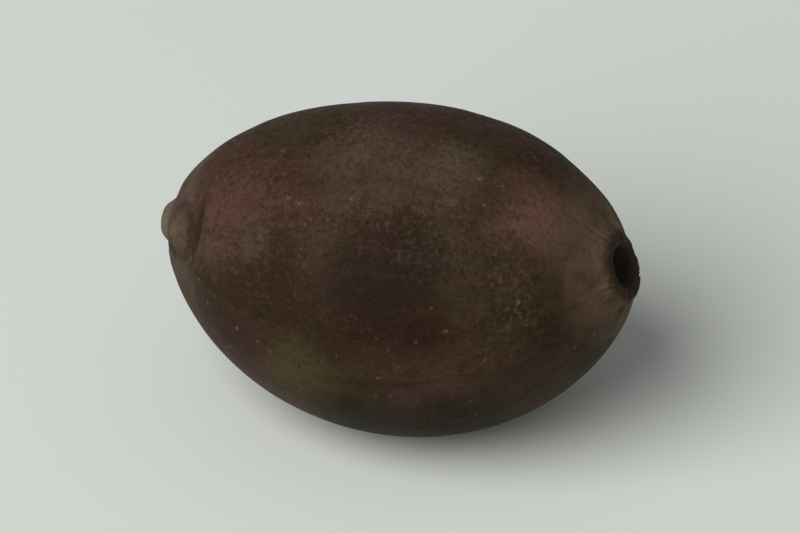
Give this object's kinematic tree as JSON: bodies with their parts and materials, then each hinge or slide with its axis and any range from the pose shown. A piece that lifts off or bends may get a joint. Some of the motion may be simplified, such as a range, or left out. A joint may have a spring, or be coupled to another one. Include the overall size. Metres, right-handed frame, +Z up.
{
  "type": "lotus seed in shell",
  "caption": "Ripe lotus seed, dry and still whole in its hard dark egg-shaped shell, lying on its side; a loose natural piece to rest on a surface or heap in a dish.",
  "frame": {"origin": "under the middle of the seed, in the plane of the small flat spot that it rests on", "axes": "+X along the seed from the style end to the stalk end, +Y across it, +Z up"},
  "size_m": [0.0174, 0.0118, 0.0113],
  "materials": {
    "pericarp": "matte dark brown hard shell with a thin dusty grey bloom"
  },
  "bodies": {
    "root": {"lotus_seed": "pericarp"}
  },
  "joints": []
}
